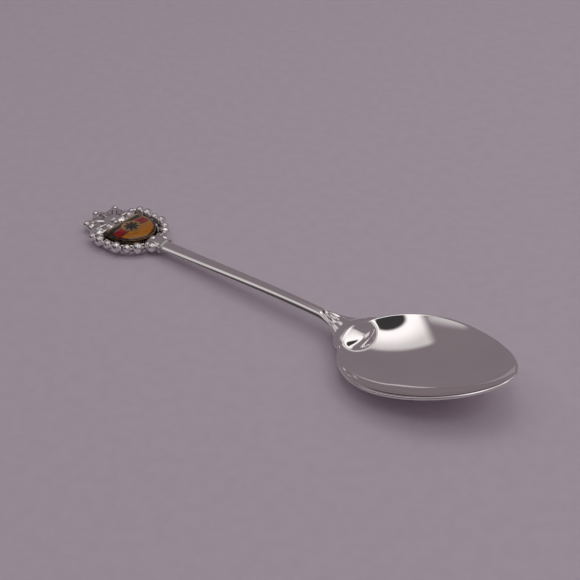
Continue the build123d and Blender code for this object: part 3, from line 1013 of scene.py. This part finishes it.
def finial_relief():
    """The cast ornament: everything fused into one skin with soft, cast inside corners."""
    path = shield_side(border_width - bead_radius, start_x=shield_top_x + bead_start)
    run = np.concatenate([[0], np.cumsum(np.linalg.norm(np.diff(path, axis=0), axis=1))])
    kept = path[run <= run[-1] - bead_radius - 0.6]
    scrolls = []
    for mirror in (1, -1):
        points = np.column_stack([kept[:, 0], mirror * kept[:, 1], np.full(len(kept), bead_rise)])
        scrolls.append(scroll_tree().run(path_object("border_path", points)))
    crown = crown_tree().run(new_object("crown", bpy.data.meshes.new("crown")))
    relief = joined("finial_relief", [*ornament_frame(), *scrolls, crown, collar(), *volute_beads()])
    fuse = relief.modifiers.new("fuse", "REMESH")
    fuse.mode = "VOXEL"
    fuse.voxel_size = voxel * MM
    soften = relief.modifiers.new("soften", "SMOOTH")
    soften.factor = 0.5
    soften.iterations = 3
    baked(relief)
    heights = np.empty(len(relief.data.vertices) * 3)
    relief.data.vertices.foreach_get("co", heights)
    heights[2::3] = np.maximum(heights[2::3], 0)
    relief.data.vertices.foreach_set("co", heights)
    relief.data.shade_smooth()
    return hollow_tree().run(relief)


# ---- badge --------------------------------------------------------------------------------------
def resin_dome():
    """Clear lens over the badge: a short rounded edge and a low dome, seated in the enamel."""
    base = dome_low[2]
    rise = dome_high[2] - base
    centre = np.array([shield_middle_x, 0])
    edge = shield_loop(-0.03)
    loops = [(edge, base - 0.03), (edge, base + 0.06)]
    for share in np.cos(np.linspace(0, pi / 2, 22)[:-1]):
        height = 0.06 + 0.2 * sqrt(1 - share ** 10) + (rise - 0.26) * (1 - share ** 2.2)
        loops.append((centre + (edge - centre) * share, base + height))
    loops.append((centre + (edge - centre) * 0.015, dome_high[2]))
    return stacked("resin_dome", loops)


# ---- stage --------------------------------------------------------------------------------------
sheet_colour = (0.76, 0.685, 0.77)
ceiling = 0.5               # metres from the sheet to the lamps
lamp_centre = (0.035, 0.0)
cloth_middle = (0.20, 0.20)  # of the main cloth, in shares of the ceiling's height
cloth_turn = pi / 4
opening_middle = (0.26, 0.09)
opening_radius = 0.27       # of the dark round opening, as a share of the ceiling's height
tent_grey = (0.205, 0.172, 0.19)
front_dark = (0.07, 0.058, 0.066)
front_azimuth = radians(-118)
front_elevation = radians(20)


class Lamp:
    """Glowing ceiling cloth. Its pattern is worked out in shares of the ceiling's height from its middle."""

    def __init__(self, name, middle, size, turn=0.0):
        self.material = bpy.data.materials.new(name)
        self.material.use_nodes = True
        self.nodes = self.material.node_tree.nodes
        self.links = self.material.node_tree.links
        self.nodes.clear()
        half = [side * ceiling / 2 for side in size]
        mesh = bpy.data.meshes.new(name)
        corners = [(x * half[0], y * half[1], 0) for x, y in ((-1, -1), (-1, 1), (1, 1), (1, -1))]
        mesh.from_pydata(corners, [], [(0, 1, 2, 3)])
        mesh.materials.append(self.material)
        self.cloth = new_object(name, mesh)
        away = [start + share * ceiling for start, share in zip(lamp_centre, middle)]
        self.cloth.location = (*away, ceiling)
        self.cloth.rotation_euler = (0, 0, turn)
        self.cloth.visible_camera = False
        self.size = size

    def maths(self, operation, first, second=0.0):
        """One maths step."""
        node = self.nodes.new("ShaderNodeMath")
        node.operation = operation
        for socket, value in zip(node.inputs, (first, second)):
            if isinstance(value, bpy.types.NodeSocket):
                self.links.new(value, socket)
            else:
                socket.default_value = value
        return node.outputs[0]

    def times(self, first, second):
        """Product of two numbers."""
        return self.maths("MULTIPLY", first, second)

    def fade(self, source, start, end, low, high):
        """Smooth change from low to high as the source goes from start to end."""
        node = self.nodes.new("ShaderNodeMapRange")
        node.interpolation_type = "SMOOTHSTEP"
        for name, value in (("From Min", start), ("From Max", end), ("To Min", low), ("To Max", high)):
            node.inputs[name].default_value = value
        self.links.new(source, node.inputs["Value"])
        return node.outputs["Result"]

    def light(self, radiance, softness, glow=None):
        """Lights the cloth, fading into the tent at its edges.

        glow is the dark opening's middle and radius, then the radius and share that the light falls to.
        """
        place = self.nodes.new("ShaderNodeTexCoord").outputs["Object"]
        split = self.nodes.new("ShaderNodeSeparateXYZ")
        self.links.new(place, split.inputs[0])
        x = self.maths("DIVIDE", split.outputs["X"], ceiling)
        y = self.maths("DIVIDE", split.outputs["Y"], ceiling)
        strength = radiance
        cover = 1.0
        for axis, side in ((x, self.size[0]), (y, self.size[1])):
            edge = self.fade(self.maths("ABSOLUTE", axis), side / 2 - softness, side / 2, 1.0, 0.0)
            cover = self.times(cover, edge)
        if glow:
            (at_x, at_y), inner, outer, beyond = glow
            from_x = self.maths("SUBTRACT", x, at_x)
            from_y = self.maths("SUBTRACT", y, at_y)
            far = self.maths("SQRT", self.maths("ADD", self.times(from_x, from_x),
                                                self.times(from_y, from_y)))
            strength = self.times(strength, self.fade(far, inner + 0.1, outer, 1.0, beyond))
            opening = self.fade(far, inner - 0.03, inner + 0.05, 0.035, 1.0)
            strength = self.times(strength, opening)
        glowing = self.nodes.new("ShaderNodeEmission")
        glowing.inputs["Color"].default_value = (1.0, 0.955, 0.96, 1)
        if isinstance(strength, bpy.types.NodeSocket):
            self.links.new(strength, glowing.inputs["Strength"])
        else:
            glowing.inputs["Strength"].default_value = strength
        clear = self.nodes.new("ShaderNodeBsdfTransparent")
        mix = self.nodes.new("ShaderNodeMixShader")
        self.links.new(cover, mix.inputs["Fac"])
        self.links.new(clear.outputs[0], mix.inputs[1])
        self.links.new(glowing.outputs[0], mix.inputs[2])
        end = self.nodes.new("ShaderNodeOutputMaterial")
        self.links.new(mix.outputs[0], end.inputs["Surface"])


def tent_world():
    """Even grey tent walls with a dark front opening."""
    world = bpy.data.worlds.new("tent")
    world.use_nodes = True
    nodes, links = world.node_tree.nodes, world.node_tree.links
    place = nodes.new("ShaderNodeTexCoord").outputs["Generated"]
    aim = nodes.new("ShaderNodeVectorMath")
    aim.operation = "DOT_PRODUCT"
    aim.inputs[1].default_value = (cos(front_elevation) * cos(front_azimuth),
                                   cos(front_elevation) * sin(front_azimuth), sin(front_elevation))
    links.new(place, aim.inputs[0])
    near = nodes.new("ShaderNodeMapRange")
    near.interpolation_type = "SMOOTHSTEP"
    near.inputs["From Min"].default_value = cos(radians(44))
    near.inputs["From Max"].default_value = cos(radians(28))
    links.new(aim.outputs["Value"], near.inputs["Value"])
    mix = nodes.new("ShaderNodeMix")
    mix.data_type = "RGBA"
    mix.inputs["A"].default_value = (*tent_grey, 1)
    mix.inputs["B"].default_value = (*front_dark, 1)
    links.new(near.outputs["Result"], mix.inputs["Factor"])
    links.new(mix.outputs["Result"], nodes["Background"].inputs["Color"])
    bpy.context.scene.world = world


def build_stage():
    """Pale sheet, glowing ceiling cloths, one with a dark round opening, and the tent's walls."""
    turns = np.arange(96) * 2 * pi / 96
    mesh = bpy.data.meshes.new("sheet")
    mesh.from_pydata([(3 * cos(t), 3 * sin(t), -0.00001) for t in turns], [], [tuple(range(96))])
    mesh.materials.append(felt_grey())
    new_object("sheet", mesh)
    away = Vector(opening_middle) - Vector(cloth_middle)
    away.rotate(Matrix.Rotation(-cloth_turn, 2))
    main = Lamp("main_cloth", cloth_middle, (1.3, 1.56), turn=cloth_turn)
    main.light(1.15, 0.16, glow=(away, opening_radius, 0.8, 0.55))
    Lamp("far_cloth", (0.62, 1.42), (1.15, 1.4)).light(0.72, 0.3)
    Lamp("side_cloth", (-0.72, -0.55), (1.3, 0.95)).light(0.62, 0.3)
    tent_world()
    bpy.context.scene.view_settings.view_transform = "Standard"


def build_camera():
    """Camera above the bowl's near side, looking along the spoon towards its ornament."""
    azimuth, elevation = radians(39.573), radians(34.968)
    back = Vector((sin(azimuth) * cos(elevation), -cos(azimuth) * cos(elevation), sin(elevation)))
    data = bpy.data.cameras.new("camera")
    data.lens = 80.68
    data.sensor_width = 36
    data.clip_start = 0.01
    camera = bpy.data.objects.new("camera", data)
    camera.location = (0.140152, -0.165910, 0.156776)
    camera.rotation_mode = "QUATERNION"
    camera.rotation_quaternion = (-back).to_track_quat("-Z", "Y")
    bpy.context.collection.objects.link(camera)
    bpy.context.scene.camera = camera


def finished(piece, slot, *nodes):
    """Paints a piece with its slot's finish, hangs it on the root body and hides the CAD nodes it stands in
    for.
    """
    piece.data.materials.clear()
    piece.data.materials.append(materials[slot])
    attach(piece, "root")
    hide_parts(*nodes)
    return piece


materials = {
    "silver_plate": silver_plate(),
    "cast_silver": cast_silver(),
    "solder": solder(),
    "gilt": gilt(),
    "cement": cement(),
    "dark_enamel": enamel("dark_enamel_glaze", (0.010, 0.010, 0.022), (0.016, 0.015, 0.03)),
    "black_enamel": enamel("black_enamel_glaze", (0.012, 0.011, 0.012), (0.02, 0.018, 0.018)),
    "red_enamel": enamel("red_enamel_glaze", (0.62, 0.003, 0.012), (0.50, 0.002, 0.009)),
    "gold_enamel": enamel("gold_enamel_glaze", (1.0, 0.40, 0.0), (0.90, 0.32, 0.0)),
    "clear_resin": clear_resin(),
}
node_slots = {
    "solder_joint": "solder",
    "badge_tray": "gilt",
    "badge_cement": "cement",
    "border_enamel": "dark_enamel",
    "black_enamel": "black_enamel",
    "red_enamel": "red_enamel",
    "gold_enamel": "gold_enamel",
    "rosette_enamel": "dark_enamel",
}

build_camera()
build_stage()
finished(new_object("polished_blank", blank_mesh()), "silver_plate", "spoon_blank")
finished(finial_relief(), "cast_silver", "finial_casting")
finished(resin_dome(), "clear_resin", "clear_dome")
for node, slot in node_slots.items():
    shown = frame["nodes"][node]
    for place in range(len(shown.material_slots)):
        shown.material_slots[place].material = materials[slot]
